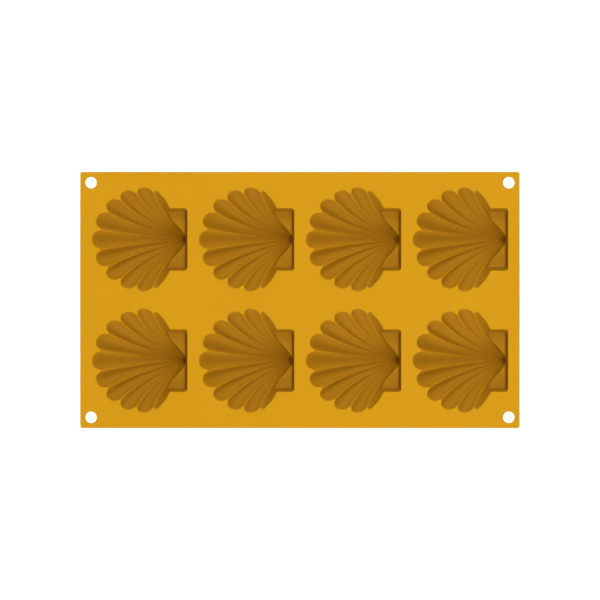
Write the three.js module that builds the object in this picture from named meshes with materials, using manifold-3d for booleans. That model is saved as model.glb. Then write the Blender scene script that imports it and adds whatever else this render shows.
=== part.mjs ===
// Silicone baking mould: a flat sheet with two rows of four cups, each cup a scallop shell with a
// fluted fan and a straight hinge pocket. Sizes are in millimetres and +Z is up. The origin lies
// under the middle of the sheet, on the plane that the cups stand on.
import * as THREE from "three";
import { mergeVertices } from "three/addons/utils/BufferGeometryUtils.js";
import Module from "manifold-3d";

// Layout of the cups: the sheet's length and width follow from these and from the shell
const COLUMNS = 4;
const ROWS = 2;
const COLUMN_WEB = 8; // flat sheet between two shells of a row
const ROW_WEB = 11.7; // flat sheet between the rows
const END_MARGIN = 8; // from the end shells to the short edges
const SIDE_MARGIN = 10.65; // from the shells to the long edges

// Sheet
const SHEET_THICKNESS = 2;
const SHEET_CORNER_RADIUS = 1.5;
const HOLE_DIAMETER = 7.8; // hanging hole in each corner
const HOLE_INSET = 7.4; // from both edges to the middle of the hole

// Plan of the shell, where its cavity opens in the sheet's top face
const FAN_RADIUS = 35.5; // circle through the tips of the lobes
const HINGE_TO_FAN_CENTRE = 29.5; // from the hinge edge to the middle of that circle
const FLUTE_APEX = 1.5; // the flutes spring from a point this far behind the hinge edge
const LOBE_ANGLES = [25.6, 23.7, 21.2, 21.3, 20.1, 7.9]; // degrees round the circle, middle lobe first
const SIDE_LOBE_SHORTFALL = 1.6; // the last, narrow lobe stops this far inside the circle
const CURL_MIDDLE = 0.64; // share of a flute's rim angle that it already has at the apex
const CURL_FLANK = 0.16; // what the outermost flutes have more than that
const CURL_POWER = 2; // how late the flutes swing out
const CUSP_DEPTH = 6.2; // the ridges beside the middle lobe reach the rim this far inside the circle
const LOBE_POWER = 2.5; // above 2 the lobes are blunter than a circle
const LOBE_FILL = 0.93; // share of the way to a ridge's middle line at which the lobes' sides turn upright

// Depth of the fan
const CAVITY_DEPTH = 17; // at the deepest point of the middle flute
const RIM_POWER = 0.75; // below 1 the floor leaves the rim steeply and flattens inwards
const HEEL_END = 0.33; // share of a flute's length over which its floor rounds up to the apex
const FLANK_LIFT = 0.5; // share of the depth lost at the outermost flutes
const FLANK_POWER = 2.2; // how late the floor rises towards them
const RIDGE_HEIGHT = 1.6; // what the ridges stand higher than their way to the rim alone makes them
const RIDGE_FALL = 0.55; // share of the ridges' height and cusps lost towards the flank
const RIDGE_END = 6; // how close to the rim the ridges keep that height

// Hinge pocket behind the fan
const EAR_WIDTH = 42.8; // along the hinge edge
const EAR_DEPTH = 6;
const EAR_CORNER_RADIUS = 2;
const UMBO_SETBACK = 0.6; // the fan's back wall stands this far in front of the pocket's

// Walls
const WALL = 2; // silicone under and around each cavity
const FLANK_DRAFT = 31; // degrees that the walls beside the fan's flanks lean outwards
const END_DRAFT = 20; // degrees that the pocket's ends lean outwards
const HINGE_DRAFT = 9; // degrees that the wall along the hinge edge leans outwards
const OUTER_RIDGE_SHARE = 0.5; // the flutes show half as high on the outside
const FOOT_BULGE = 1.8; // extra floor under the deepest part, cut flat as a foot

// Fineness of the curved surfaces
const INNER_COLUMNS = [0, 0.5, 0.82, 1]; // across half a lobe, from its groove to its ridge
const OUTER_COLUMNS = [0, 1];
const STATIONS = [0.02, 0.1, 0.27, 0.58, 0.85]; // shares of a flute below the sheet
const RIM_OVERHANG = 0.06; // share of a flute by which the cutting shape leans out above the rim
const PROFILE_STEPS = 200; // places tried along a flute to find its deepest
const CORNER_STEPS = 4;
const HOLE_STEPS = 24;
const HEADROOM = 8; // the cutting shapes stand this far above the sheet
const SHARE_TOLERANCE = 1e-9; // how closely a place along a flute is found
const MERGE_DISTANCE = 1e-4;

const SILICONE_COLOUR = 0xd99d19;
const SILICONE_ROUGHNESS = 0.5;

const DEGREE = Math.PI / 180;
const APEX_TO_CENTRE = HINGE_TO_FAN_CENTRE + FLUTE_APEX;
const SHELL_LENGTH = HINGE_TO_FAN_CENTRE + FAN_RADIUS;
const SHELL_WIDTH = 2 * FAN_RADIUS;
const SHEET_LENGTH = COLUMNS * SHELL_LENGTH + (COLUMNS - 1) * COLUMN_WEB + 2 * END_MARGIN;
const SHEET_WIDTH = ROWS * SHELL_WIDTH + (ROWS - 1) * ROW_WEB + 2 * SIDE_MARGIN;
const SHEET_TOP = CAVITY_DEPTH + WALL;
const SHEET_UNDERSIDE = SHEET_TOP - SHEET_THICKNESS;
const LID = SHEET_TOP + HEADROOM;
const FLANK_LEAN = Math.tan(FLANK_DRAFT * DEGREE);
const END_LEAN = Math.tan(END_DRAFT * DEGREE);
const HINGE_LEAN = Math.tan(HINGE_DRAFT * DEGREE);

const wasm = await Module();
wasm.setup();

// Closed geometry to solid and back
function toSolid(geometry) {
  const bare = geometry.clone();
  bare.deleteAttribute("normal");
  bare.deleteAttribute("uv");
  const merged = mergeVertices(bare, MERGE_DISTANCE);
  const vertProperties = new Float32Array(merged.attributes.position.array);
  const triVerts = new Uint32Array(merged.index.array);
  return new wasm.Manifold(new wasm.Mesh({ numProp: 3, vertProperties, triVerts }));
}

function toGeometry(solid) {
  const mesh = solid.getMesh();
  const geometry = new THREE.BufferGeometry();
  geometry.setAttribute("position", new THREE.BufferAttribute(mesh.vertProperties, 3));
  geometry.setIndex(new THREE.BufferAttribute(mesh.triVerts, 1));
  geometry.computeVertexNormals();
  return geometry;
}

// Angles of the ridges round the tip circle, from the middle outwards, and the flank as the last
function ridgeAngles() {
  const angles = [];
  let angle = -LOBE_ANGLES[0] / 2;
  for (const span of LOBE_ANGLES) {
    angle += span;
    angles.push(angle);
  }
  return angles;
}

const RIDGES = ridgeAngles();
const FLANK_ANGLE = RIDGES[RIDGES.length - 1];
const SIDE_LOBE_START = RIDGES[RIDGES.length - 2];

// Columns across the fan: the angle of each, and how far it lies from its groove's middle line,
// 0 in the groove and 1 on a ridge
function fanColumns(halfLobe) {
  const towardsGroove = halfLobe.slice(0, -1).reverse();
  const outwards = halfLobe.map((across) => ({ angle: RIDGES[0] * across, across }));
  for (let lobe = 1; lobe + 1 < RIDGES.length; lobe += 1) {
    const half = (RIDGES[lobe] - RIDGES[lobe - 1]) / 2;
    const groove = RIDGES[lobe - 1] + half;
    towardsGroove.forEach((across) => outwards.push({ angle: groove - half * across, across }));
    halfLobe.slice(1).forEach((across) => outwards.push({ angle: groove + half * across, across }));
  }
  const sideLobe = FLANK_ANGLE - SIDE_LOBE_START;
  towardsGroove.forEach((across) => outwards.push({ angle: FLANK_ANGLE - sideLobe * across, across }));
  const mirrored = outwards.slice(1).map(({ angle, across }) => ({ angle: -angle, across }));
  return [...mirrored.reverse(), ...outwards];
}

// Rise from a groove (0) to a ridge (1): round like a fingertip and steep beside the ridge
function lobeRise(across) {
  const below = (place) => (1 - (LOBE_FILL * place) ** LOBE_POWER) ** (1 / LOBE_POWER);
  return (1 - below(across)) / (1 - below(1));
}

// Shape of a flute's floor along its length: a round heel at the apex and a slope up to the rim.
// along is the share of the way from the apex to the tip circle, toRim that of the way to the rim.
function floorShape(along, toRim) {
  const inside = Math.max(0, 1 - toRim * toRim);
  const heel = Math.max(0, 1 - along / HEEL_END);
  return inside ** RIM_POWER * Math.sqrt(1 - heel * heel);
}

const PROFILE_SHARES = Array.from({ length: PROFILE_STEPS }, (_, step) => step / PROFILE_STEPS);
const PROFILE_PEAK = Math.max(...PROFILE_SHARES.map((share) => floorShape(share, share)));

// A point of the fan's floor. skin is 0 for the cavity and the wall's thickness for the outside,
// which spreads half as much in plan, because the floor leans outwards at the rim.
function fanPoint({ angle, across }, along, skin) {
  const toFlank = (Math.abs(angle) / FLANK_ANGLE) ** FLANK_POWER;
  const beyond = Math.max(0, Math.abs(angle) - SIDE_LOBE_START) / (FLANK_ANGLE - SIDE_LOBE_START);
  const radius = FAN_RADIUS + skin / 2 - SIDE_LOBE_SHORTFALL * beyond;
  const tipForward = APEX_TO_CENTRE + radius * Math.cos(angle * DEGREE);
  const tipSideways = radius * Math.sin(angle * DEGREE);
  const length = Math.hypot(tipForward, tipSideways);
  const start = CURL_MIDDLE + CURL_FLANK * toFlank;
  const curl = start + (1 - start) * along ** CURL_POWER;
  const bearing = Math.atan2(tipSideways, tipForward) * curl;
  const rise = lobeRise(across) * (1 - RIDGE_FALL * toFlank) * (skin > 0 ? OUTER_RIDGE_SHARE : 1);
  const toRim = along / (1 - (CUSP_DEPTH * rise) / length);
  const profile = floorShape(along, toRim) / PROFILE_PEAK;
  const floor = CAVITY_DEPTH * profile * (1 - FLANK_LIFT * toFlank);
  const ridge = RIDGE_HEIGHT * rise * along * Math.max(0, 1 - toRim ** RIDGE_END);
  const skinBelow = skin > 0 ? skin + FOOT_BULGE * profile : 0;
  const forward = length * along * Math.cos(bearing) - FLUTE_APEX;
  const sideways = length * along * Math.sin(bearing);
  return { forward, sideways, bearing, depth: floor + skinBelow - ridge };
}

// Share between low and high at which a test that holds at low stops holding
function shareWhere(low, high, holds) {
  let from = low;
  let to = high;
  while (to - from > SHARE_TOLERANCE) {
    const middle = (from + to) / 2;
    if (holds(middle)) {
      from = middle;
    } else {
      to = middle;
    }
  }
  return to;
}

// Share along a flute at which its floor has risen to a depth below the sheet's top face
function shareAtDepth(column, depth, skin) {
  return shareWhere(HEEL_END, 1, (along) => fanPoint(column, along, skin).depth > depth);
}

// Rows of the grid along one flute: a border at the lid behind the apex, the stations on the
// floor, a row at each level depth, and a border at the lid beyond the rim
function fluteRows(column, skin, levels) {
  const levelRows = levels.map((depth) => ({ along: shareAtDepth(column, depth, skin), depth }));
  const lip = levelRows[0].along;
  const rim = levelRows[levelRows.length - 1].along;
  const stationRows = STATIONS.map((share) => ({ along: share * lip }));
  const behind = { along: (STATIONS[0] * lip) / 2, depth: -HEADROOM };
  const beyond = { along: rim + RIM_OVERHANG, depth: -HEADROOM };
  return [behind, ...stationRows, ...levelRows, beyond];
}

// One column of the grid, moved sideways out of the fan by a distance for each of its points
function fluteColumn(column, skin, levels, side, sideShift) {
  return fluteRows(column, skin, levels).map((row) => {
    const point = fanPoint(column, row.along, skin);
    const shift = sideShift(point.depth);
    const forward = point.forward - shift * Math.sin(Math.abs(point.bearing));
    const sideways = point.sideways + side * shift * Math.cos(point.bearing);
    return { forward, sideways, depth: row.depth ?? point.depth };
  });
}

// Columns of points over the fan's floor, between two steep flank walls that rise to the lid
function fanGrid(skin, halfLobe, levels) {
  const columns = fanColumns(halfLobe);
  const flanks = [columns[0], columns[columns.length - 1]];
  const flankFoot = flanks.map((flank) => {
    return fluteColumn(flank, skin, levels, Math.sign(flank.angle), () => skin);
  });
  const flankTop = flanks.map((flank) => {
    const reach = (depth) => skin + FLANK_LEAN * (depth + HEADROOM);
    const wall = fluteColumn(flank, skin, levels, Math.sign(flank.angle), reach);
    return wall.map((point) => ({ ...point, depth: -HEADROOM }));
  });
  const floor = columns.slice(1, -1).map((column) => {
    return fluteColumn(column, skin, levels, 0, () => 0);
  });
  const grid = [flankTop[0], flankFoot[0], ...floor, flankFoot[1], flankTop[1]];
  const place = ({ forward, sideways, depth }) => new THREE.Vector3(-forward, sideways, SHEET_TOP - depth);
  return grid.map((column) => column.map(place));
}

// Closed solid between a grid of floor points and a flat lid, which meet along the grid's border
function liddedSolid(grid) {
  const length = grid[0].length;
  const floor = grid.flat();
  const lid = floor.map((point) => new THREE.Vector3(point.x, point.y, LID));
  const index = [];
  for (let column = 0; column + 1 < grid.length; column += 1) {
    for (let row = 0; row + 1 < length; row += 1) {
      const here = column * length + row;
      const next = here + length;
      index.push(here, here + 1, next + 1, here, next + 1, next);
      const above = here + floor.length;
      const beside = next + floor.length;
      index.push(above, beside + 1, above + 1, above, beside, beside + 1);
    }
  }
  const geometry = new THREE.BufferGeometry().setFromPoints([...floor, ...lid]);
  geometry.setIndex(index);
  return toSolid(geometry);
}

// Leaning block behind the fan's back wall
function behindUmbo(skin) {
  const size = 2 * (SHELL_LENGTH + LID);
  const block = new THREE.BoxGeometry(size, size, size);
  block.translate(size / 2, 0, 0);
  block.rotateY(HINGE_DRAFT * DEGREE);
  block.translate(skin / Math.cos(HINGE_DRAFT * DEGREE) - UMBO_SETBACK, 0, SHEET_TOP);
  return toSolid(block);
}

// The hinge pocket runs forwards to where the foot of the fan's flank is as wide as the pocket's floor
function earReach() {
  const flank = { angle: FLANK_ANGLE, across: 0 };
  const half = EAR_WIDTH / 2 - END_LEAN * EAR_DEPTH;
  const along = shareWhere(0, 1, (share) => fanPoint(flank, share, 0).sideways < half);
  return fanPoint(flank, along, 0).forward;
}

const EAR_REACH = earReach();

// Outline of the hinge pocket at a depth below the sheet's top face
function earOutline(depth, skin) {
  const back = skin / Math.cos(HINGE_DRAFT * DEGREE) - HINGE_LEAN * depth;
  const half = EAR_WIDTH / 2 + skin / Math.cos(END_DRAFT * DEGREE) - END_LEAN * depth;
  const radius = EAR_CORNER_RADIUS + skin;
  const outline = new THREE.Shape();
  outline.moveTo(-EAR_REACH, half);
  outline.lineTo(-EAR_REACH, -half);
  outline.absarc(back - radius, radius - half, radius, -Math.PI / 2, 0, false);
  outline.absarc(back - radius, half - radius, radius, 0, Math.PI / 2, false);
  return outline.getPoints(CORNER_STEPS);
}

// Hinge pocket: its floor outline lofted up to the wider outline at the lid
function earSolid(skin) {
  const depth = EAR_DEPTH + skin;
  const lower = earOutline(depth, skin);
  const upper = earOutline(-HEADROOM, skin);
  const count = lower.length;
  const points = [];
  lower.forEach((point) => points.push(new THREE.Vector3(point.x, point.y, SHEET_TOP - depth)));
  upper.forEach((point) => points.push(new THREE.Vector3(point.x, point.y, LID)));
  const index = [];
  for (let corner = 0; corner < count; corner += 1) {
    const next = (corner + 1) % count;
    index.push(corner, next, count + next, corner, count + next, count + corner);
  }
  for (let corner = 1; corner + 1 < count; corner += 1) {
    index.push(0, corner + 1, corner);
    index.push(count, count + corner, count + corner + 1);
  }
  const geometry = new THREE.BufferGeometry().setFromPoints(points);
  geometry.setIndex(index);
  return toSolid(geometry);
}

// Whole shell as a solid: the cavity itself with no skin, or the cup's outside with one
function shellSolid(skin, halfLobe, levels) {
  const fan = liddedSolid(fanGrid(skin, halfLobe, levels)).subtract(behindUmbo(skin));
  return fan.add(earSolid(skin));
}

// Slab between the plane that the cups stand on and the sheet's underside
function cupSlab() {
  const size = 4 * SHELL_LENGTH;
  const slab = new THREE.BoxGeometry(size, size, SHEET_UNDERSIDE);
  slab.translate(0, 0, SHEET_UNDERSIDE / 2);
  return toSolid(slab);
}

// Sheet blank with round corners
function sheetBlank() {
  const x = SHEET_LENGTH / 2;
  const y = SHEET_WIDTH / 2;
  const r = SHEET_CORNER_RADIUS;
  const outline = new THREE.Shape();
  outline.absarc(x - r, y - r, r, 0, Math.PI / 2, false);
  outline.absarc(r - x, y - r, r, Math.PI / 2, Math.PI, false);
  outline.absarc(r - x, r - y, r, Math.PI, 1.5 * Math.PI, false);
  outline.absarc(x - r, r - y, r, 1.5 * Math.PI, 2 * Math.PI, false);
  const blank = new THREE.ExtrudeGeometry(outline, {
    depth: SHEET_THICKNESS,
    bevelEnabled: false,
    curveSegments: CORNER_STEPS,
  });
  blank.translate(0, 0, SHEET_UNDERSIDE);
  return toSolid(blank);
}

function hangingHole(x, y) {
  const drill = new THREE.CylinderGeometry(HOLE_DIAMETER / 2, HOLE_DIAMETER / 2, 2 * LID, HOLE_STEPS);
  drill.rotateX(Math.PI / 2);
  drill.translate(x, y, 0);
  return toSolid(drill);
}

// Places of the shells' hinge edges, and a name for each cup: front row first, from -X to +X
function shellPlaces() {
  const rowNames = ["front", "back"];
  const places = [];
  for (let row = 0; row < ROWS; row += 1) {
    for (let column = 0; column < COLUMNS; column += 1) {
      const x = -SHEET_LENGTH / 2 + END_MARGIN + SHELL_LENGTH + column * (SHELL_LENGTH + COLUMN_WEB);
      const y = -SHEET_WIDTH / 2 + SIDE_MARGIN + SHELL_WIDTH / 2 + row * (SHELL_WIDTH + ROW_WEB);
      places.push({ x, y, name: `shell_cup_${rowNames[row] ?? row}_${column + 1}` });
    }
  }
  return places;
}

function silicone() {
  return new THREE.MeshStandardMaterial({
    color: SILICONE_COLOUR,
    roughness: SILICONE_ROUGHNESS,
    metalness: 0,
  });
}

const cavity = shellSolid(0, INNER_COLUMNS, [SHEET_THICKNESS, 0]);
const outside = shellSolid(WALL, OUTER_COLUMNS, [SHEET_THICKNESS]);
const cup = toGeometry(outside.subtract(cavity).intersect(cupSlab()));
const mouth = toGeometry(cavity);
const places = shellPlaces();

let sheet = sheetBlank();
for (const { x, y } of places) {
  sheet = sheet.subtract(toSolid(mouth.clone().translate(x, y, 0)));
}
for (const side of [-1, 1]) {
  for (const end of [-1, 1]) {
    const x = end * (SHEET_LENGTH / 2 - HOLE_INSET);
    const y = side * (SHEET_WIDTH / 2 - HOLE_INSET);
    sheet = sheet.subtract(hangingHole(x, y));
  }
}

const mould = new THREE.Group();
mould.name = "baking_mould";
const topSheet = new THREE.Mesh(toGeometry(sheet), silicone());
topSheet.name = "top_sheet";
mould.add(topSheet);
for (const { x, y, name } of places) {
  const shellCup = new THREE.Mesh(cup, silicone());
  shellCup.name = name;
  shellCup.position.set(x, y, 0);
  mould.add(shellCup);
}

export default mould;
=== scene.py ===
"""Looks of a silicone baking mould: a flat sheet with eight scallop-shell cups in two rows.

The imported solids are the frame. One fine shell cup is modelled from the driving sizes of the solids
and copied to the eight places that the frame gives, and the sheet is cut to the lips of the cups.
"""

import logging
import math
from dataclasses import dataclass, field
from enum import Enum
from typing import Callable, NamedTuple

import bpy
import numpy as np
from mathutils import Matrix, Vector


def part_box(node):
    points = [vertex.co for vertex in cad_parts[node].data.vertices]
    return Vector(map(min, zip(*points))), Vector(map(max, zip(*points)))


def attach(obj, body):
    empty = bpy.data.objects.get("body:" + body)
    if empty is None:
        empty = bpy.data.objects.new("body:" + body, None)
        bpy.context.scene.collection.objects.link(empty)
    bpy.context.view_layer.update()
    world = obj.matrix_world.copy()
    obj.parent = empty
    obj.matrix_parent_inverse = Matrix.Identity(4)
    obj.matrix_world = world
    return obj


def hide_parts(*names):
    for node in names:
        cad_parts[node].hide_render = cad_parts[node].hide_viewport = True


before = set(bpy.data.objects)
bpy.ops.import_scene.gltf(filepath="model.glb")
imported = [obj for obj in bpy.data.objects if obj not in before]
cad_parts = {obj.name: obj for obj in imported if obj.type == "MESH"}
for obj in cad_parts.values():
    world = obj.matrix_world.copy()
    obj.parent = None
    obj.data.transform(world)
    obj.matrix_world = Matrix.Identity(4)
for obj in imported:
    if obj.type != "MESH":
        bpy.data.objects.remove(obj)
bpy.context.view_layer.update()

Array = np.ndarray
Piece = bpy.types.Object
Tree = bpy.types.NodeTree

LOG = logging.getLogger("baking_mould")
MM = 0.001
BODY = "root"
CAVITY_MASK = "cavity"
# Attribute of the painted light and shade in the cavities.
PAINTED_SHADING_MASK = "painted_shading"
SHARE_STEPS = 48
PEAK_SAMPLES = 400
SLOPE_STEP = 0.001
TINY = 1e-9
MERGE_DISTANCE = 0.002 * MM
SMOOTH_ANGLE = math.radians(42.0)
WHITE = (1.0, 1.0, 1.0, 1.0)


class Skin(Enum):
    """Face of a cup's wall."""

    CAVITY = "cavity"
    OUTSIDE = "outside"


class FanPoint(NamedTuple):
    """Points of the fan: place in plan, bearing of the flute and depth below the sheet's top."""

    forward: Array
    sideways: Array
    bearing: Array
    depth: Array


class FloorGrid(NamedTuple):
    """Grid over a fan's floor, its flanks row by row, and the row that meets the pocket's end."""

    points: Array
    flank_bearing: Array
    flank_lean: Array
    corner: int


# Helpers for modelling as by hand


def deselect_all() -> None:
    """Goes back to object mode, with nothing selected."""
    if bpy.context.object is not None and bpy.context.object.mode != "OBJECT":
        bpy.ops.object.mode_set(mode="OBJECT")
    bpy.ops.object.select_all(action="DESELECT")


def activate(*pieces: Piece) -> None:
    """Selects these pieces alone and makes the first one active.

    Args:
        pieces: Objects to select.
    """
    deselect_all()
    for piece in pieces:
        piece.select_set(True)
    bpy.context.view_layer.objects.active = pieces[0]


def edit(piece: Piece, mode: str = "VERT", select: str = "SELECT") -> None:
    """Opens a piece in edit mode.

    Args:
        piece: Object to open.
        mode: What is selected there: VERT, EDGE or FACE.
        select: SELECT for all of it, DESELECT for none.
    """
    activate(piece)
    bpy.ops.object.mode_set(mode="EDIT")
    bpy.ops.mesh.select_mode(type=mode)
    bpy.ops.mesh.select_all(action=select)


def select_edges(piece: Piece, wanted: Callable[[Array, Array], bool]) -> None:
    """Opens a piece in edit mode with some edges selected.

    Args:
        piece: Object to open.
        wanted: Test of an edge's two end points.
    """
    edit(piece, "EDGE", "DESELECT")
    bpy.ops.object.mode_set(mode="OBJECT")
    for edge in piece.data.edges:
        ends = [np.array(piece.data.vertices[index].co) for index in edge.vertices]
        edge.select = wanted(ends[0], ends[1])
    bpy.ops.object.mode_set(mode="EDIT")


def finish_modifier(piece: Piece, kind: str, **settings: object) -> None:
    """Adds a modifier to a piece and applies it.

    Args:
        piece: Object to change.
        kind: Blender's name of the modifier type.
        settings: Values of the modifier's properties.
    """
    activate(piece)
    modifier = piece.modifiers.new(kind.lower(), kind)
    for name, value in settings.items():
        setattr(modifier, name, value)
    bpy.ops.object.modifier_apply(modifier=modifier.name)


def shaped_grid(name: str, points: Array) -> Piece:
    """Adds a grid and moves its points to their places.

    Args:
        name: Name of the new object.
        points: Places as rows by columns by three.

    Returns:
        The grid object, at the origin.
    """
    rows, columns = points.shape[:2]
    deselect_all()
    bpy.ops.mesh.primitive_grid_add(x_subdivisions=columns - 1, y_subdivisions=rows - 1, size=1.0)
    piece = bpy.context.object
    piece.name = name
    piece.data.vertices.foreach_set("co", points.astype(np.float32).ravel())
    piece.data.update()
    return piece


def paint(piece: Piece, name: str, values: Array) -> None:
    """Gives each point of a piece a number that its material reads.

    Args:
        piece: Object to paint.
        name: Name of the mesh attribute.
        values: One number for each point, in the mesh's order.
    """
    mask = piece.data.attributes.new(name, "FLOAT", "POINT")
    mask.data.foreach_set("value", values.astype(np.float32).ravel())


def joined(*pieces: Piece) -> Piece:
    """Joins pieces into the first one and merges the points that they share.

    Args:
        pieces: Objects to join.

    Returns:
        The first object, holding all of them.
    """
    activate(*pieces)
    bpy.ops.object.join()
    whole = bpy.context.object
    edit(whole)
    bpy.ops.mesh.remove_doubles(threshold=MERGE_DISTANCE)
    bpy.ops.object.mode_set(mode="OBJECT")
    return whole


def face_outwards(piece: Piece) -> None:
    """Turns the faces of a closed piece outwards.

    Args:
        piece: Object to turn.
    """
    edit(piece)
    bpy.ops.mesh.normals_make_consistent(inside=False)
    bpy.ops.object.mode_set(mode="OBJECT")


def smooth(piece: Piece) -> None:
    """Shades a piece smooth except over sharp edges, with flat faces kept flat.

    Args:
        piece: Object to shade.
    """
    activate(piece)
    bpy.ops.object.shade_smooth_by_angle(angle=SMOOTH_ANGLE)
    finish_modifier(piece, "WEIGHTED_NORMAL", keep_sharp=True)


# Shape of one shell


def ramp(value: Array, start: float, end: float) -> Array:
    """Grows evenly from 0 at the start to 1 at the end, and keeps to these values outside."""
    return np.clip((value - start) / (end - start), 0.0, 1.0)


def from_hinge(points: Array) -> Array:
    """Distance in plan from the middle of the shell's hinge edge."""
    return np.hypot(points[..., 0], points[..., 1])


def share_where(low: Array, high: Array, holds: Callable[[Array], Array]) -> Array:
    """Finds where a test that holds at low stops holding, by halving.

    Args:
        low: Values at which the test holds.
        high: Values at which it doesn't.
        holds: The test, on an array of values.

    Returns:
        The values between them at which it stops holding.
    """
    low, high = low.copy(), high.copy()
    for _ in range(SHARE_STEPS):
        middle = (low + high) / 2
        inside = holds(middle)
        low = np.where(inside, middle, low)
        high = np.where(inside, high, middle)
    return high


def rounded_corner(
    before: Array, corner: Array, after: Array, distance: float, steps: int, limit: float = 0.5
) -> Array:
    """Cuts corners with a smooth curve.

    Args:
        before: Points that the lines come from, any shape by three.
        corner: Corner points.
        after: Points that the lines go to.
        distance: How far from the corner the curve starts and ends.
        steps: Points on each curve.
        limit: Most that the curve takes of each line, as a share.

    Returns:
        Points of the curves, with the steps as the last but one axis.
    """
    ends = []
    for other in (before, after):
        line = other - corner
        length = np.linalg.norm(line, axis=-1, keepdims=True)
        share = np.minimum(distance / np.maximum(length, TINY), limit)
        ends.append(corner + line * share)
    turn = np.linspace(0.0, 1.0, steps)[:, None]
    start, middle, end = (point[..., None, :] for point in (ends[0], corner, ends[1]))
    return (1 - turn) ** 2 * start + 2 * turn * (1 - turn) * middle + turn**2 * end


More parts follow.
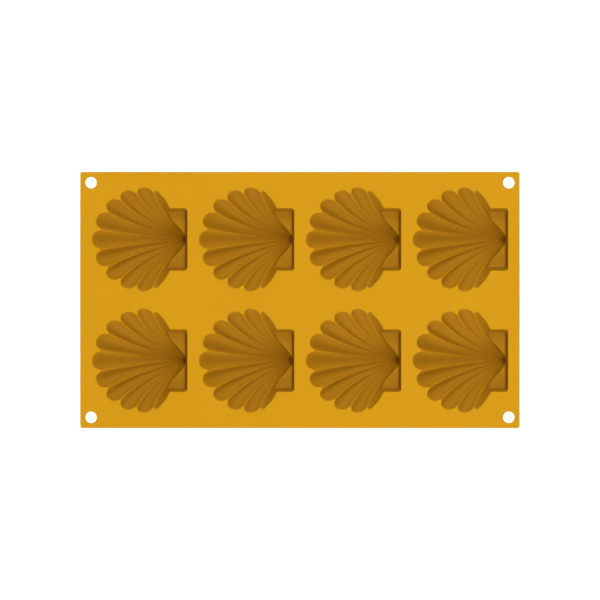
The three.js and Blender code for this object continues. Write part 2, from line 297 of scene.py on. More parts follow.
@dataclass(frozen=True)
class FlutedFan:
    """Fan of flutes that spring from an apex behind the hinge edge and curl outwards to the rim."""

    tip_radius: float = 35.5 * MM
    hinge_to_centre: float = 29.5 * MM
    flute_apex: float = 1.5 * MM
    lobe_degrees: tuple[float, ...] = (25.6, 23.7, 21.2, 21.3, 20.1, 7.9)
    side_lobe_shortfall: float = 1.6 * MM
    curl_middle: float = 0.64
    curl_flank: float = 0.16
    curl_power: float = 2.0
    depth: float = 17.0 * MM
    rim_power: float = 0.75
    heel_end: float = 0.33
    flank_lift: float = 0.5
    flank_power: float = 2.2
    flank_draft: float = math.radians(28.0)
    flank_swell: float = 0.5
    swell_power: float = 4.0
    flank_blend: float = 1.8 * MM
    cusp_depth: float = 6.2 * MM
    lobe_power: float = 2.5
    lobe_fill: float = 0.93
    ridge_height: float = 2.2 * MM
    ridge_fall: float = 0.55
    ridge_end: float = 6.0
    ridge_start: float = 0.02
    ridge_full: float = 0.28
    outer_ridge_share: float = 0.5
    foot_bulge: float = 1.8 * MM
    crest_share: float = 0.26
    crest_sharpening: float = 0.55
    crest_height: float = 0.85
    strips: int = 12

    @property
    def ridges(self) -> Array:
        """Angles of the ridges round the tip circle, from the middle outwards, the flank last."""
        return np.radians(np.cumsum(self.lobe_degrees) - self.lobe_degrees[0] / 2)

    @property
    def floor_peak(self) -> float:
        """Highest value of the plain floor shape."""
        along = np.linspace(0.0, 1.0, PEAK_SAMPLES)
        return float(self.floor_shape(along, along).max())

    def flank_lean(self, share: Array) -> Array:
        """Spread of a flank's wall for each unit of height, by the share of the way to the tip."""
        swell = np.sin(math.pi * np.clip(share, 0.0, 1.0) ** self.swell_power)
        return math.tan(self.flank_draft) + self.flank_swell * swell

    def floor_shape(self, along: Array, to_rim: Array) -> Array:
        """Gives the depth along a flute as a plain shape: a round heel and a slope up to the rim.

        Args:
            along: Shares along the flute, 0 at the apex and 1 at the tip circle.
            to_rim: Shares of the way to the rim, which lies nearer on a ridge.

        Returns:
            Depths, unscaled.
        """
        inside = np.maximum(0.0, 1.0 - to_rim**2)
        heel = np.maximum(0.0, 1.0 - along / self.heel_end)
        return inside**self.rim_power * np.sqrt(1.0 - heel**2)

    def columns(self) -> tuple[Array, Array]:
        """Gives the columns across the fan, close together beside the ridges.

        Returns:
            Angles round the tip circle, and how far each lies from its groove, 1 on a ridge.
        """
        spread = (1.0 - np.cos(np.linspace(0.0, math.pi, self.strips + 1))) / 2
        ridges = self.ridges
        half = self.strips // 2
        angles = [ridges[0] * (2 * spread[half:] - 1)]
        across = [2 * spread[half:] - 1]
        for start, end in zip(ridges[:-2], ridges[1:-1]):
            angles.append(start + (end - start) * spread[1:])
            across.append(np.abs(2 * spread[1:] - 1))
        side = spread[::2][1:]
        angles.append(ridges[-2] + (ridges[-1] - ridges[-2]) * side)
        across.append(1.0 - side)
        outwards, from_groove = np.concatenate(angles), np.clip(np.concatenate(across), 0.0, 1.0)
        return (
            np.concatenate([-outwards[:0:-1], outwards]),
            np.concatenate([from_groove[:0:-1], from_groove]),
        )

    def lobe(self, across: Array) -> Array:
        """Gives the rise from groove to ridge, round like a fingertip and steep beside the ridge.

        Args:
            across: 0 in a groove and 1 on a ridge.

        Returns:
            Rises, 1 on a sharp ridge.
        """
        power = self.lobe_power
        inside = (1.0 - (self.lobe_fill * across) ** power) ** (1.0 / power)
        return (1.0 - inside) / (1.0 - (1.0 - self.lobe_fill**power) ** (1.0 / power))

    def crest(self, across: Array, along: Array) -> Array:
        """Gives the rise from groove to ridge, with a round crest that sharpens towards the rim.

        Args:
            across: 0 in a groove and 1 on a ridge.
            along: Shares along the flute.

        Returns:
            Rises, up to the share of a sharp ridge's height that the round crest keeps.
        """
        share = self.crest_share * (1.0 - self.crest_sharpening * np.minimum(along, 1.0) ** 2)
        start = 1.0 - share
        slope = (self.lobe(start) - self.lobe(start - SLOPE_STEP)) / SLOPE_STEP
        over = np.maximum(0.0, across - start)
        rise = self.lobe(np.minimum(across, start)) + slope * (over - over**2 / (2 * share))
        return self.crest_height * rise / (self.lobe(start) + slope * share / 2)

    def point(self, angle: Array, across: Array, along: Array, wall: float) -> FanPoint:
        """Gives points of the fan's floor.

        Args:
            angle: Angles round the tip circle.
            across: 0 in a groove and 1 on a ridge.
            along: Shares along the flute.
            wall: 0 for the cavity, or the wall's thickness for the outside.

        Returns:
            The points, in the shell's own directions from the middle of its hinge edge.
        """
        ridges = self.ridges
        flank = ridges[-1]
        outward = np.abs(angle) / flank
        beyond = np.maximum(0.0, np.abs(angle) - ridges[-2]) / (flank - ridges[-2])
        radius = self.tip_radius + wall / 2 - self.side_lobe_shortfall * beyond
        tip_forward = self.hinge_to_centre + self.flute_apex + radius * np.cos(angle)
        tip_sideways = radius * np.sin(angle)
        full = np.hypot(tip_forward, tip_sideways)
        reach = full * along
        to_flank = outward**self.flank_power
        start = self.curl_middle + self.curl_flank * to_flank
        curl = start + (1.0 - start) * along**self.curl_power
        bearing = np.arctan2(tip_sideways, tip_forward) * curl
        rise = self.crest(across, along) * (1.0 - self.ridge_fall * to_flank)
        if wall > 0.0:
            rise = rise * self.outer_ridge_share
        to_rim = along / (1.0 - self.cusp_depth * rise / full)
        profile = self.floor_shape(along, to_rim) / self.floor_peak
        floor = self.depth * profile * (1.0 - self.flank_lift * to_flank)
        grown = ramp(along, self.ridge_start, self.ridge_full)
        ridge = self.ridge_height * rise * np.maximum(along, self.ridge_full)
        ridge = ridge * grown**2 * (3.0 - 2.0 * grown)
        ridge = ridge * np.maximum(0.0, 1.0 - to_rim**self.ridge_end)
        if wall > 0.0:
            floor = floor + wall + self.foot_bulge * profile
        else:
            floor = floor - self.flank_blend * profile * beyond**2
        forward = reach * np.cos(bearing) - self.flute_apex
        return FanPoint(forward, reach * np.sin(bearing), bearing, floor - ridge)


@dataclass(frozen=True)
class HingePocket:
    """Straight pocket behind the fan, with a leaning wall along the hinge edge and leaning ends."""

    width: float = 42.8 * MM
    depth: float = 6.0 * MM
    corner_radius: float = 2.0 * MM
    umbo_setback: float = 0.6 * MM
    end_draft: float = math.radians(20.0)
    hinge_draft: float = math.radians(9.0)
    corner_start: float = 0.4
    corner_end: float = 0.66

    def half_width(self, depth: Array, wall: float) -> Array:
        """Half of the pocket's width at a depth, for the cavity or around a wall."""
        upper = self.width / 2 + wall / math.cos(self.end_draft)
        return upper - math.tan(self.end_draft) * depth

    def back(self, depth: Array, wall: float) -> Array:
        """Place of the hinge wall in the forward direction at a depth."""
        return math.tan(self.hinge_draft) * depth - wall / math.cos(self.hinge_draft)

    def outline(
        self, depth: float, share: Array, start: float, end: Array, wall: float
    ) -> tuple[Array, Array]:
        """Follows half of the pocket's outline from the umbo along the hinge and the end wall.

        Args:
            depth: Depth of the outline.
            share: Shares of the way, of which the corner takes a set part.
            start: Sideways place at which the way starts on the hinge wall.
            end: Forward and sideways place at which the way ends on the end wall.
            wall: 0 for the cavity, or the wall's thickness for the outside.

        Returns:
            Forward and sideways places, and the directions that point out of the pocket there.
        """
        back = float(self.back(depth, wall))
        radius = self.corner_radius + wall
        on_hinge = ramp(share, 0.0, self.corner_start)
        turn = ramp(share, self.corner_start, self.corner_end) * math.pi / 2
        on_end = ramp(share, self.corner_end, 1.0)
        sideways = start + (end[1] - radius - start) * on_hinge + radius * np.sin(turn)
        forward = back + radius * (1.0 - np.cos(turn)) + (end[0] - back - radius) * on_end
        out = np.stack([-np.cos(turn), np.sin(turn)], axis=-1)
        return np.stack([forward, sideways], axis=-1), out


@dataclass(frozen=True)
class CavityPaintedShading:
    """Painted light and shade of a cavity, as shares of its colour: shade above 0, light below."""

    fan: FlutedFan
    pocket: HingePocket
    mask_depth: float = 0.7 * MM
    wall_dark: float = 0.28
    wall_slopes: tuple[float, float] = (0.1, 0.7)
    ear_light: float = 0.12
    flank_dark: float = 0.2
    flank_power: float = 4.0
    umbo_dark: float = 1.2
    umbo_power: float = 1.7
    umbo_limit: float = 0.6
    umbo_reach: float = 5.5 * MM
    heel_light: float = 0.28
    heel_reach: float = 9.0 * MM
    heel_power: float = 3.0
    heel_turn: float = 0.5
    crest_light: float = 0.34
    crest_start: float = 0.7
    crest_reach: tuple[float, float] = (11.7 * MM, 20.7 * MM)
    side_dark: float = 0.12
    side_start: float = 0.2
    side_reach: tuple[float, float] = (5.4 * MM, 14.4 * MM)

    def inside(self, points: Array) -> Array:
        """Tells how far points lie inside the cavity, 0 on the lip and 1 below it."""
        return ramp(points[..., 2], 0.0, self.mask_depth)

    def umbo(self, points: Array) -> Array:
        """Painted shade close to the umbo."""
        near = ramp(from_hinge(points), self.umbo_reach, 0.0)
        return np.minimum(self.umbo_dark * near**self.umbo_power, self.umbo_limit)

    def floor(self, points: Array) -> Array:
        """Gives the floor's painted light and shade: umbo, heel, crests and the inner sides of
        flutes.

        Args:
            points: The floor grid.

        Returns:
            The painted light and shade at each point.
        """
        angle, across = self.fan.columns()
        distance = from_hinge(points)
        # Painted light on the heel along the axis, turning to painted shade towards the flanks.
        away = distance / self.heel_reach
        turned = np.cos(2 * np.arctan2(points[..., 1], points[..., 0])) - self.heel_turn
        heel = self.heel_light * (away * np.exp(1.0 - away)) ** self.heel_power * turned
        # Painted highlight along the crests, strongest where the floor is shallow, away from the
        # umbo.
        crest = self.crest_light * ramp(across, self.crest_start, 1.0) ** 2
        shallow = ramp(points[..., 2], self.fan.depth, 0.0)
        crest = crest * shallow * ramp(distance, *self.crest_reach)
        # Painted shade on the inner side of each flute, away from the umbo.
        inner = np.gradient(across) * np.sign(angle) < 0.0
        side = np.where(inner, np.sin(math.pi * ramp(across, self.side_start, 1.0)), 0.0)
        side = self.side_dark * side * ramp(distance, *self.side_reach)
        return (self.umbo(points) + side - heel - crest) * self.inside(points)

    def walls(self, strip: Array, lip: float) -> Array:
        """Gives the walls' painted shade by how steeply they rise, and painted light on the pocket's
        floor.

        Args:
            strip: The walls round the fan's floor.
            lip: Width of the flat lip at their end.

        Returns:
            The painted light and shade at each point.
        """
        step = np.diff(strip, axis=1)
        steep = np.abs(step[..., 2]) / np.maximum(np.linalg.norm(step, axis=-1), TINY)
        steep = np.maximum(np.pad(steep, ((0, 0), (1, 0))), np.pad(steep, ((0, 0), (0, 1))))
        # Painted shade on the pocket's steep walls, painted light on its flat floor.
        upright = ramp(steep, *self.wall_slopes)
        ears = self.wall_dark * upright - self.ear_light * (1.0 - upright)
        in_pocket = np.abs(strip[:, -1:, 1]) < self.pocket.width / 2 + lip + MERGE_DISTANCE
        # Painted shade on the steep flank walls.
        tone = np.where(in_pocket, ears, self.flank_dark * steep**self.flank_power)
        # Painted shade near the umbo, growing down the hinge wall.
        umbo = self.umbo(strip) * ramp(strip[..., 2], 0.0, self.pocket.depth) ** 2
        return np.where(umbo > 0.0, np.maximum(tone, umbo), tone) * self.inside(strip)


@dataclass
class ShellCup:
    """One cup of the mould: a fluted scallop cavity with its lip, wall and foot."""

    top: float
    sheet_thickness: float
    wall: float
    fan: FlutedFan = field(default_factory=FlutedFan)
    pocket: HingePocket = field(default_factory=HingePocket)
    rows: int = 34
    rim_round: float = 0.6 * MM
    lip: float = 0.8 * MM
    foot_round: float = 2.6 * MM
    ledge_round: float = 2.0 * MM
    round_steps: int = 6
    rim_steps: int = 5

    def offsets(self, skin: Skin) -> tuple[float, float]:
        """Distance of a skin from the cavity, and depth of the plane at which it ends."""
        return (0.0, 0.0) if skin is Skin.CAVITY else (self.wall, self.sheet_thickness)

    def floor_points(self, skin: Skin) -> FloorGrid:
        """Lays the grid over the fan's floor, from the hinge wall to the lip.

        Args:
            skin: Face of the wall to follow.

        Returns:
            The grid, one row of which meets the corner between the flank and the pocket's end.
        """
        wall, level = self.offsets(skin)
        angle, across = self.fan.columns()
        ones = np.ones_like(angle)

        def floor_at(along: Array) -> FanPoint:
            """Gives points of the floor, near the hinge no higher than the pocket's floor.

            Args:
                along: Shares along each flute.

            Returns:
                The points.
            """
            found = self.fan.point(angle, across, along, wall)
            deep = np.maximum(found.depth, self.pocket.depth + wall)
            return found._replace(depth=np.where(along < self.fan.heel_end, deep, found.depth))

        def behind_wall(along: Array) -> Array:
            """Tests whether a place is still behind the leaning back wall of the fan."""
            place = floor_at(along)
            return place.forward < self.pocket.umbo_setback + self.pocket.back(place.depth, wall)

        def below_level(along: Array) -> Array:
            """Tests whether the floor is still below the skin's last plane."""
            return floor_at(along).depth > level + MERGE_DISTANCE

        def beside_end(along: Array) -> Array:
            """Tests whether the flank's rim still lies within the pocket's width.

            Args:
                along: One share along the flank.

            Returns:
                The one result.
            """
            place = floor_at(along)
            lean = self.fan.flank_lean((along - start[-1]) / (edge[-1] - start[-1]))
            shift = wall + lean * np.maximum(place.depth - level, 0.0)
            reached = place.sideways + np.cos(place.bearing) * shift
            return reached[-1:] < self.pocket.half_width(level, wall)

        start = share_where(np.zeros_like(angle), self.fan.heel_end * ones, behind_wall)
        rim = share_where(self.fan.heel_end * ones, ones, below_level)
        full = self.fan.point(angle, across, ones, wall)
        reach = np.hypot(full.forward + self.fan.flute_apex, full.sideways)
        rounded = skin is Skin.CAVITY
        edge = rim - self.rim_round / reach if rounded else rim
        count = self.rows if rounded else self.rows + self.rim_steps
        spread = np.sin(np.linspace(0.0, math.pi / 2, count + 1))
        meeting = share_where(start[-1:], edge[-1:], beside_end)[0] - start[-1]
        meeting = meeting / (edge[-1] - start[-1])
        corner = int(np.argmin(np.abs(spread - meeting)))
        spread[corner] = meeting
        along = start + (edge - start) * spread[:, None]
        place = floor_at(along)
        points = np.stack([place.forward, place.sideways, place.depth], axis=-1)
        bearing, lean = place.bearing, self.fan.flank_lean(spread)
        if rounded:
            at_rim = self.fan.point(angle, across, rim, wall)
            turn = np.stack([at_rim.forward, at_rim.sideways, level * ones], axis=-1)
            outer = self.fan.point(angle, across, rim + self.lip / reach, wall)
            flat = np.stack([outer.forward, outer.sideways, level * ones], axis=-1)
            curve = rounded_corner(points[-1], turn, flat, 2 * self.rim_round, self.rim_steps, 1.0)
            curve[:, -1] = turn + (flat - turn) * self.rim_round / self.lip
            points = np.concatenate([points, curve.swapaxes(0, 1)[1:], flat[None]])
            rim_bearing = np.repeat(at_rim.bearing[None], self.rim_steps, axis=0)
            bearing = np.concatenate([bearing, rim_bearing])
            lean = np.concatenate([lean, np.repeat(lean[-1:], self.rim_steps)])
        if skin is Skin.OUTSIDE:
            for column, side in ((0, -1.0), (-1, 1.0)):
                points[:, column, 0] -= wall * np.sin(np.abs(bearing[:, column]))
                points[:, column, 1] += side * wall * np.cos(bearing[:, column])
            points[..., 2] = np.minimum(points[..., 2], self.top)
        return FloorGrid(points, bearing[:, -1], lean, corner)

    def flank_path(self, grid: FloorGrid, skin: Skin) -> tuple[Array, Array]:
        """Finds the corners of the wall that rises beside the fan's right flank, row by row.

        Args:
            grid: The floor grid.
            skin: Face of the wall to follow.

        Returns:
            Rows by four corners by three: foot, both edges of the pocket's floor, and rim. Then the
            directions that point out of the shell.
        """
        wall, level = self.offsets(skin)
        pocket, corner = self.pocket, grid.corner
        floor = pocket.depth + wall
        foot = grid.points[:, -1]
        out = np.stack([-np.sin(grid.flank_bearing), np.cos(grid.flank_bearing)], axis=-1)

        def on_wall(depth: Array) -> Array:
            """Gives the places on the leaning flank wall at a depth for each row."""
            spread = grid.flank_lean * np.maximum(foot[:, 2] - depth, 0.0)
            return np.column_stack([foot[:, :2] + out * spread[:, None], depth])

        rows = np.arange(len(foot))
        halfway = np.minimum(floor, (foot[:, 2] + level) / 2)
        inner = on_wall(np.where(rows < corner, floor, halfway))
        rim = on_wall(np.full(len(foot), level))
        floor_end = on_wall(np.full(len(foot), floor))[corner, :2]
        inner[0, 0] = pocket.umbo_setback + pocket.back(floor, wall)
        outer = inner.copy()
        share = np.minimum(rows / corner, 1.0)
        floor_way, _ = pocket.outline(floor, share, inner[0, 1], floor_end, wall)
        rim_way, rim_out = pocket.outline(level, share, inner[0, 1], rim[corner, :2], wall)
        outer[:corner, :2] = floor_way[:corner]
        rim[:corner, :2] = rim_way[:corner]
        mitre = (out[corner] + rim_out[corner]) / (1.0 + out[corner] @ rim_out[corner])
        out[:corner] = rim_out[:corner]
        out[corner] = mitre
        return np.stack([foot, inner, outer, rim], axis=1), out

    def hinge_path(self, foot: Array, corner: Array, skin: Skin) -> Array:
        """Finds the corners of the wall that rises behind the umbo, column by column.

        Args:
            foot: First row of the floor grid.
            corner: Corners of the wall at the end of the first row, which this wall runs into.
            skin: Face of the wall to follow.

        Returns:
            Columns by four corners by three.
        """
        wall, level = self.offsets(skin)
        floor = self.pocket.depth + wall
        sideways = foot[:, 1] * corner[1, 1] / corner[0, 1]
        ledge, rim = self.pocket.back(floor, wall), self.pocket.back(level, wall)
        columns = [foot]
        for forward, depth in (
            (self.pocket.umbo_setback + ledge, floor),
            (ledge, floor),
            (rim, level),
        ):
            places = (np.full_like(sideways, forward), sideways, np.full_like(sideways, depth))
            columns.append(np.stack(places, axis=-1))
        return np.stack(columns, axis=1)

    def skirt_points(self, grid: FloorGrid, skin: Skin) -> Array:
        """Lays the walls round the fan's floor: left flank, hinge and right flank in one strip.

        Args:
            grid: The floor grid, whose border is moved back to where the foot's rounding starts.
            skin: Face of the wall to follow.

        Returns:
            Stations by steps by three.
        """
        points = grid.points
        right, right_out = self.flank_path(grid, skin)
        left, left_out = right * [1, -1, 1], right_out * [1, -1]
        hinge = self.hinge_path(points[0], right[0], skin)
        hinge_out = np.tile([-1.0, 0.0], (len(hinge), 1))
        path = np.concatenate([left[:0:-1], hinge, right[1:]])
        out = np.concatenate([left_out[:0:-1], hinge_out, right_out[1:]])
        inside = np.concatenate([points[:0:-1, 1], points[1, :], points[1:, -2]])
        inside[len(left) - 1] = points[1, 1]
        inside[-len(right)] = points[1, -2]
        foot, inner, outer, rim = (path[:, index] for index in range(4))
        flat = rim.copy()
        flat[:, :2] += out * self.lip
        bends = [
            rounded_corner(inside, foot, inner, self.foot_round, self.round_steps),
            rounded_corner(foot, inner, outer, self.ledge_round, self.round_steps),
            rounded_corner(inner, outer, rim, self.ledge_round, self.round_steps),
        ]
        if skin is Skin.CAVITY:
            bends.append(rounded_corner(outer, rim, flat, self.rim_round, self.rim_steps))
            bends.append(flat[:, None])
        else:
            rise = np.linspace(0.0, 1.0, self.rim_steps + 2)[1:, None]
            bends.append(bends[-1][:, -1:] + (rim[:, None] - bends[-1][:, -1:]) * rise)
        strip = np.concatenate(bends, axis=1)
        start = strip[:, 0]
        side = len(right) - 1
        points[1:, 0] = start[:side][::-1]
        points[0, :] = start[side:-side]
        points[1:, -1] = start[-side:]
        return strip

    def placed(self, points: Array) -> Array:
        """Turns places in the shell's own directions into the frame's, tips towards -X."""
        return np.stack([-points[..., 0], points[..., 1], self.top - points[..., 2]], axis=-1)

    def border(self, points: Array, strip: Array) -> Array:
        """Follows the edge of a skin once round: tips, right flank, hinge and left flank.

        Args:
            points: The floor grid.
            strip: The walls round it.

        Returns:
            Points of the edge, with the first one again at the end.
        """
        return np.concatenate([points[-1], strip[-1, 1:], strip[-2::-1, -1], strip[0, -2::-1]])

    def skin_mesh(self, skin: Skin) -> tuple[Piece, Array]:
        """Models one face of the cup's wall as an open surface.

        Args:
            skin: Face of the wall to model.

        Returns:
            The surface, with its cavity mask and painted light and shade, and its edge.
        """
        grid = self.floor_points(skin)
        points, strip = grid.points, self.skirt_points(grid, skin)
        floor = shaped_grid(f"{skin.value}_floor", self.placed(points))
        skirt = shaped_grid(f"{skin.value}_skirt", self.placed(strip))
        # The cavity gets its mask and its painted light and shade.
        if skin is Skin.CAVITY:
            tones = CavityPaintedShading(self.fan, self.pocket)
            for part, places, painted_shading_values in (
                (floor, points, tones.floor(points)),
                (skirt, strip, tones.walls(strip, self.lip)),
            ):
                paint(part, CAVITY_MASK, tones.inside(places))
                paint(part, PAINTED_SHADING_MASK, painted_shading_values)
        return joined(floor, skirt), self.placed(self.border(points, strip))

    def build(self, name: str) -> tuple[Piece, Piece]:
        """Models the cup, its hinge edge at the origin, and the cutter of its place in the sheet.

        Args:
            name: Name of the cup.

        Returns:
            The cup and the cutter.
        """
        cavity, lip_edge = self.skin_mesh(Skin.CAVITY)
        cutter = self.lip_cutter(cavity)
        outside, foot_edge = self.skin_mesh(Skin.OUTSIDE)
        lip_foot = lip_edge - [0.0, 0.0, self.sheet_thickness]
        lip = shaped_grid("lip", np.stack([lip_edge, lip_foot, foot_edge]))
        cup = joined(cavity, outside, lip)
        face_outwards(cup)
        cup.name = name
        return cup, cutter

    def lip_cutter(self, cavity: Piece) -> Piece:
        """Makes a prism from the outline of the cavity's lip.

        Args:
            cavity: The open surface of the cavity.

        Returns:
            The prism, which stands past both faces of the sheet.
        """
        activate(cavity)
        bpy.ops.object.duplicate()
        cutter = bpy.context.object
        cutter.name = "lip_cutter"
        edit(cutter, "EDGE", "DESELECT")
        bpy.ops.mesh.select_non_manifold()
        bpy.ops.mesh.select_all(action="INVERT")
        bpy.ops.mesh.delete(type="EDGE_FACE")
        bpy.ops.mesh.select_all(action="SELECT")
        bpy.ops.mesh.delete_loose(use_edges=False)
        bpy.ops.mesh.select_all(action="SELECT")
        bpy.ops.mesh.edge_face_add()
        over = self.sheet_thickness
        down = (0.0, 0.0, -(self.sheet_thickness + 2 * over))
        bpy.ops.transform.translate(value=(0.0, 0.0, over))
        bpy.ops.mesh.extrude_region_move(TRANSFORM_OT_translate={"value": down})
        face_outwards(cutter)
        return cutter

    def hinge_edge(self, node: str) -> tuple[float, float]:
        """Finds the middle of a cup's hinge edge in the frame.

        Args:
            node: Name of the CAD node of the cup.

        Returns:
            The place in X and Y.
        """
        low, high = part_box(node)
        back = float(self.pocket.back(self.sheet_thickness, self.wall))
        return high[0] + back, (low[1] + high[1]) / 2


def moved_copy(source: Piece, name: str, place: tuple[float, float]) -> Piece:
    """Copies a piece with a mesh of its own and applies its new place.

    Args:
        source: Piece to copy.
        name: Name of the copy.
        place: Move in X and Y.

    Returns:
        The copy, at the origin.
    """
    activate(source)
    bpy.ops.object.duplicate()
    copy = bpy.context.object
    copy.name = name
    bpy.ops.transform.translate(value=(place[0], place[1], 0.0))
    bpy.ops.object.transform_apply(location=True, rotation=False, scale=False)
    return copy


@dataclass
class MouldSheet:
    """Flat sheet that carries the cups, with soft edges and a hanging hole in each corner."""

    low: Array
    high: Array
    corner_radius: float = 1.5 * MM
    edge_round: float = 0.4 * MM
    hole_radius: float = 3.9 * MM
    hole_inset: float = 7.4 * MM
    corner_steps: int = 6
    edge_steps: int = 3
    hole_sides: int = 64

    def blank(self) -> Piece:
        """Models the uncut sheet: a slab with round corners and softened edges.

        Returns:
            The slab.
        """
        size, middle = self.high - self.low, (self.high + self.low) / 2
        deselect_all()
        bpy.ops.mesh.primitive_cube_add(size=1.0, location=middle, scale=size)
        sheet = bpy.context.object
        bpy.ops.object.transform_apply(location=True, rotation=False, scale=True)
        select_edges(sheet, lambda a, b: abs(a[2] - b[2]) > size[2] / 2)
        bpy.ops.mesh.bevel(offset=self.corner_radius, segments=self.corner_steps, affect="EDGES")
        select_edges(sheet, lambda a, b: abs(a[2] - b[2]) < size[2] / 2)
        bpy.ops.mesh.bevel(offset=self.edge_round, segments=self.edge_steps, affect="EDGES")
        bpy.ops.object.mode_set(mode="OBJECT")
        return sheet

    def drill(self, x: float, y: float) -> Piece:
        """Models the cutter of a hanging hole, flared at both faces to soften the hole's edges.

        Args:
            x: Place of the hole.
            y: Place of the hole.

        Returns:
            The drill.
        """
        turns = np.linspace(0.0, math.pi / 2, self.edge_steps + 1)
        flare = self.edge_round * (1.0 - np.cos(turns[::-1]))
        rise = self.edge_round * (1.0 - np.sin(turns[::-1]))
        half = [(self.low[2] + up, self.hole_radius + out) for up, out in zip(rise, flare)]
        mirrored = [(self.high[2] + self.low[2] - height, radius) for height, radius in half[::-1]]
        over = self.edge_round
        ends = [(self.low[2] - over, half[0][1]), (self.high[2] + over, half[0][1])]
        rings = [ends[0], *half, *mirrored, ends[1]]
        deselect_all()
        height, radius = rings[0]
        bpy.ops.mesh.primitive_circle_add(
            vertices=self.hole_sides, radius=radius, fill_type="NGON", location=(x, y, height)
        )
        drill = bpy.context.object
        bpy.ops.object.transform_apply(location=True, rotation=False, scale=False)
        edit(drill)
        for (height, radius), (next_height, next_radius) in zip(rings[:-1], rings[1:]):
            up, growth = (0.0, 0.0, next_height - height), next_radius / radius
            bpy.ops.mesh.extrude_region_move(TRANSFORM_OT_translate={"value": up})
            bpy.ops.transform.resize(value=(growth, growth, 1.0))
        face_outwards(drill)
        return drill

    def build(self, name: str, cutters: list[Piece]) -> Piece:
        """Models the sheet and cuts it to the cups' lips and the hanging holes.

        Args:
            name: Name of the sheet.
            cutters: Prisms of the lips, which are used up.

        Returns:
            The sheet.
        """
        sheet = self.blank()
        sheet.name = name
        for x in (self.low[0] + self.hole_inset, self.high[0] - self.hole_inset):
            for y in (self.low[1] + self.hole_inset, self.high[1] - self.hole_inset):
                cutters.append(self.drill(x, y))
        for cutter in cutters:
            finish_modifier(
                sheet, "BOOLEAN", operation="DIFFERENCE", object=cutter, solver="MANIFOLD"
            )
            bpy.data.objects.remove(cutter)
        smooth(sheet)
        return sheet


# Finishes


def feed(tree: Tree, node: bpy.types.Node, inputs: dict[str | int, object]) -> None:
    """Gives inputs of a shader node their values or links.

    Args:
        tree: Tree that holds the node.
        node: The node.
        inputs: Values for the inputs, or the output sockets that feed them.
    """
    for name, value in inputs.items():
        if isinstance(value, bpy.types.NodeSocket):
            tree.links.new(value, node.inputs[name])
        else:
            node.inputs[name].default_value = value


def add_node(
    tree: Tree, kind: str, inputs: dict[str | int, object], **settings: object
) -> bpy.types.Node:
    """Adds a shader node.

    Args:
        tree: Tree of a material, a world or a group.
        kind: Blender's name of the node type, after "ShaderNode".
        inputs: Values for the inputs, or the output sockets that feed them.
        settings: Values of the node's own properties.

    Returns:
        The node.
    """
    node = tree.nodes.new(f"ShaderNode{kind}")
    for name, value in settings.items():
        setattr(node, name, value)
    feed(tree, node, inputs)
    return node


@dataclass(frozen=True)
class SiliconeSurface:
    """Fine unevenness that all silicone faces share: cloudy tone and matte grain."""

    cloud_scale: float = 28.0
    cloud_detail: float = 5.0
    cloud_span: tuple[float, float] = (0.3, 0.7)
    grain_scale: float = 2600.0
    grain_detail: float = 3.0

    def build(self) -> Tree:
        """Builds the node group.

        Returns:
            A group with the inputs Vector, Cloud and Grain, and the outputs Tone and Height.
        """
        group = bpy.data.node_groups.new("silicone_surface", "ShaderNodeTree")
        group.interface.new_socket("Vector", in_out="INPUT", socket_type="NodeSocketVector")
        for side, names in (("INPUT", ("Cloud", "Grain")), ("OUTPUT", ("Tone", "Height"))):
            for name in names:
                group.interface.new_socket(name, in_out=side, socket_type="NodeSocketFloat")
        given = group.nodes.new("NodeGroupInput").outputs
        cloud, grain = (
            add_node(group, "TexNoise", {"Vector": given[0], "Scale": scale, "Detail": detail})
            for scale, detail in (
                (self.cloud_scale, self.cloud_detail),
                (self.grain_scale, self.grain_detail),
            )
        )
        low, high = (
            add_node(group, "Math", {0: 1.0, 1: given["Cloud"]}, operation=way)
            for way in ("SUBTRACT", "ADD")
        )
        span = {
            "From Min": self.cloud_span[0],
            "From Max": self.cloud_span[1],
            "To Min": low.outputs[0],
            "To Max": high.outputs[0],
        }
        tone = add_node(group, "MapRange", {"Value": cloud.outputs["Fac"], **span})
        factors = {0: grain.outputs["Fac"], 1: given["Grain"]}
        height = add_node(group, "Math", factors, operation="MULTIPLY")
        results = {"Tone": tone.outputs["Result"], "Height": height.outputs[0]}
        feed(group, group.nodes.new("NodeGroupOutput"), results)
        return group


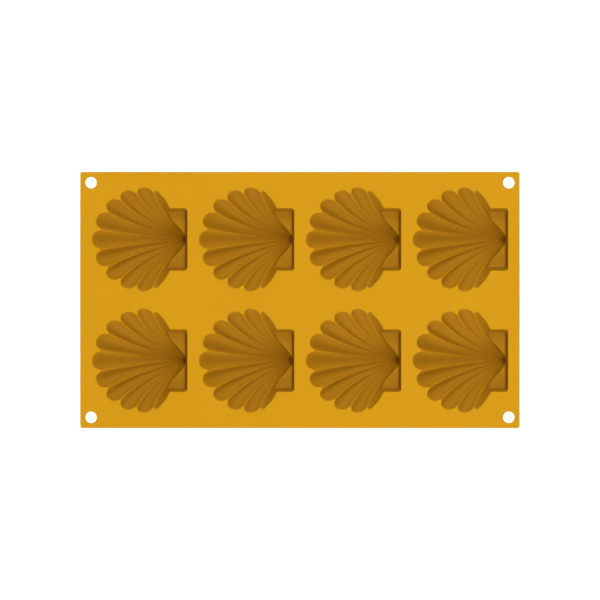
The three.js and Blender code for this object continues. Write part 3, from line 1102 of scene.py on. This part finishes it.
@dataclass(frozen=True)
class SiliconeFinish:
    """Golden silicone: satin; in the cavities a little smoother, darker by painted shade."""

    name: str
    face_colour: tuple[float, float, float] = (0.70, 0.335, 0.008)
    # The cavities' darker colour is painted shade of the hollows.
    shaded_cavity_colour: tuple[float, float, float] = (0.43, 0.187, 0.006)
    face_roughness: float = 0.55
    cavity_roughness: float = 0.5
    specular: float = 0.05
    refraction: float = 1.41
    cloud: float = 0.02
    grain: float = 1.0
    bump_distance: float = 0.02 * MM
    bump_strength: float = 0.35

    def build(self, surface: Tree) -> bpy.types.Material:
        """Builds the material.

        Args:
            surface: The shared group of fine unevenness.

        Returns:
            The material, which reads the masks of its piece.
        """
        material = bpy.data.materials.new(self.name)
        material.use_nodes = True
        tree = material.node_tree
        fine = add_node(tree, "Group", {}, node_tree=surface)
        place = add_node(tree, "TexCoord", {}).outputs["Object"]
        feed(tree, fine, {"Vector": place, "Cloud": self.cloud, "Grain": self.grain})
        mask, painted_shading = (
            add_node(tree, "Attribute", {}, attribute_name=name).outputs["Fac"]
            for name in (CAVITY_MASK, PAINTED_SHADING_MASK)
        )
        # The cavity mask mixes in the painted shade of the hollows.
        colours = {"A": (*self.face_colour, 1.0), "B": (*self.shaded_cavity_colour, 1.0)}
        colour = add_node(tree, "Mix", {"Factor": mask, **colours}, data_type="RGBA")
        # Painted light and shade lighten or darken the colour.
        tones = {0: fine.outputs["Tone"], 1: painted_shading}
        tone = add_node(tree, "Math", tones, operation="SUBTRACT")
        scaling = {"Vector": colour.outputs["Result"], "Scale": tone.outputs[0]}
        toned = add_node(tree, "VectorMath", scaling, operation="SCALE")
        span = {"To Min": self.face_roughness, "To Max": self.cavity_roughness}
        roughness = add_node(tree, "MapRange", {"Value": mask, **span})
        strength = {"Distance": self.bump_distance, "Strength": self.bump_strength}
        bump = add_node(tree, "Bump", {"Height": fine.outputs["Height"], **strength})
        inputs = {
            "Base Color": toned.outputs["Vector"],
            "Roughness": roughness.outputs["Result"],
            "IOR": self.refraction,
            "Specular IOR Level": self.specular,
            "Normal": bump.outputs["Normal"],
        }
        feed(tree, tree.nodes["Principled BSDF"], inputs)
        return material


def dress(piece: Piece, material: bpy.types.Material, node: str) -> None:
    """Gives a piece its finish and its place in the frame.

    Args:
        piece: The finished piece.
        material: Its material.
        node: CAD node that it stands for.
    """
    piece.data.materials.clear()
    piece.data.materials.append(material)
    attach(piece, BODY)
    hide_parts(node)
    LOG.info("%s: %d faces, stands for %s", piece.name, len(piece.data.polygons), node)


# Studio


@dataclass(frozen=True)
class SoftBox:
    """A large soft lamp that faces the middle of the mould."""

    name: str
    place: tuple[float, float, float]
    size: float
    power: float

    def build(self) -> None:
        """Hangs the lamp."""
        lamp = bpy.data.lights.new(self.name, "AREA")
        lamp.shape = "DISK"
        lamp.size = self.size
        lamp.energy = self.power
        holder = bpy.data.objects.new(self.name, lamp)
        bpy.context.collection.objects.link(holder)
        holder.location = self.place
        holder.rotation_euler = (-holder.location).to_track_quat("-Z", "Y").to_euler()


@dataclass
class Studio:
    """White table, soft light and a camera that looks straight down."""

    frame_width: float = 409.5 * MM
    camera_height: float = 2.0
    clip_distance: float = 20.0
    sensor: float = 36.0
    floor_size: float = 30.0
    floor_gap: float = 0.1 * MM
    world_light: float = 0.3
    floor_glow: float = 0.78
    floor_grey: float = 0.8
    floor_roughness: float = 0.9
    boxes: tuple[SoftBox, ...] = (
        SoftBox("hinge_softbox", place=(0.55, 0.0, 1.92), size=1.0, power=12.5),
        SoftBox("back_softbox", place=(0.0, 1.73, 1.0), size=1.0, power=17.8),
        SoftBox("front_softbox", place=(0.0, -1.85, 0.75), size=1.0, power=21.0),
    )

    def camera(self, top: float) -> None:
        """Sets the camera straight above the mould.

        Args:
            top: Height of the sheet's top face.
        """
        lens = bpy.data.cameras.new("camera")
        lens.sensor_width = self.sensor
        lens.lens = self.sensor * self.camera_height / self.frame_width
        lens.clip_end = self.clip_distance
        eye = bpy.data.objects.new("camera", lens)
        bpy.context.collection.objects.link(eye)
        eye.location = (0.0, 0.0, top + self.camera_height)
        bpy.context.scene.camera = eye

    def floor(self, height: float) -> None:
        """Lays the white table under the mould.

        Args:
            height: Height of the plane that the cups stand on.
        """
        deselect_all()
        middle = (0.0, 0.0, height - self.floor_gap)
        bpy.ops.mesh.primitive_plane_add(size=self.floor_size, location=middle)
        table = bpy.context.object
        table.name = "table"
        material = bpy.data.materials.new("white_table")
        material.use_nodes = True
        tree = material.node_tree
        inputs = {
            "Base Color": (*(self.floor_grey,) * 3, 1.0),
            "Roughness": self.floor_roughness,
            "Specular IOR Level": 0.0,
            "Emission Color": WHITE,
            "Emission Strength": self.seen(tree, self.floor_glow, 0.0),
        }
        feed(tree, tree.nodes["Principled BSDF"], inputs)
        table.data.materials.append(material)

    def seen(self, tree: Tree, direct: float, otherwise: float) -> bpy.types.NodeSocket:
        """Makes a strength that differs for what is seen directly, reflected or through glass.

        Args:
            tree: Tree of the material or world.
            direct: Strength for those rays.
            otherwise: Strength for the light that falls on the object.

        Returns:
            The strength's socket.
        """
        path = add_node(tree, "LightPath", {})
        total = path.outputs["Is Camera Ray"]
        for ray in ("Is Glossy Ray", "Is Transmission Ray"):
            either = add_node(tree, "Math", {0: total, 1: path.outputs[ray]}, operation="MAXIMUM")
            total = either.outputs["Value"]
        span = {"To Min": otherwise, "To Max": direct}
        return add_node(tree, "MapRange", {"Value": total, **span}).outputs["Result"]

    def world(self) -> None:
        """Surrounds the table with an even pale room."""
        room = bpy.data.worlds.new("pale_room")
        bpy.context.scene.world = room
        room.use_nodes = True
        tree = room.node_tree
        strength = self.seen(tree, 1.0, self.world_light)
        feed(tree, tree.nodes["Background"], {"Color": WHITE, "Strength": strength})

    def build(self, top: float, height: float) -> None:
        """Builds the whole studio.

        Args:
            top: Height of the sheet's top face.
            height: Height of the plane that the cups stand on.
        """
        self.camera(top)
        self.floor(height)
        self.world()
        for box in self.boxes:
            box.build()
        bpy.context.scene.view_settings.view_transform = "Standard"


def main() -> None:
    """Builds the mould and its studio."""
    logging.basicConfig(level=logging.INFO)
    sheet_low, sheet_high = (np.array(corner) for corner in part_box("top_sheet"))
    cup_nodes = sorted(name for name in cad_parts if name.startswith("shell_cup"))
    surface = SiliconeSurface().build()
    cup_finish = SiliconeFinish("cup_silicone").build(surface)
    sheet_finish = SiliconeFinish("sheet_silicone").build(surface)
    cup_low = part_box(cup_nodes[0])[0]
    fan = FlutedFan()
    shell = ShellCup(
        top=sheet_high[2],
        sheet_thickness=sheet_high[2] - sheet_low[2],
        wall=sheet_high[2] - cup_low[2] - fan.depth,
        fan=fan,
    )
    pattern, pattern_cutter = shell.build("shell_pattern")
    smooth(pattern)
    cutters = []
    for node in cup_nodes:
        place = shell.hinge_edge(node)
        cutters.append(moved_copy(pattern_cutter, f"{node}_cutter", place))
        dress(moved_copy(pattern, f"{node}_skin", place), cup_finish, node)
    for used in (pattern, pattern_cutter):
        bpy.data.objects.remove(used)
    sheet = MouldSheet(sheet_low, sheet_high).build("top_sheet_skin", cutters)
    dress(sheet, sheet_finish, "top_sheet")
    Studio().build(sheet_high[2], cup_low[2])


if __name__ == "__main__":
    main()
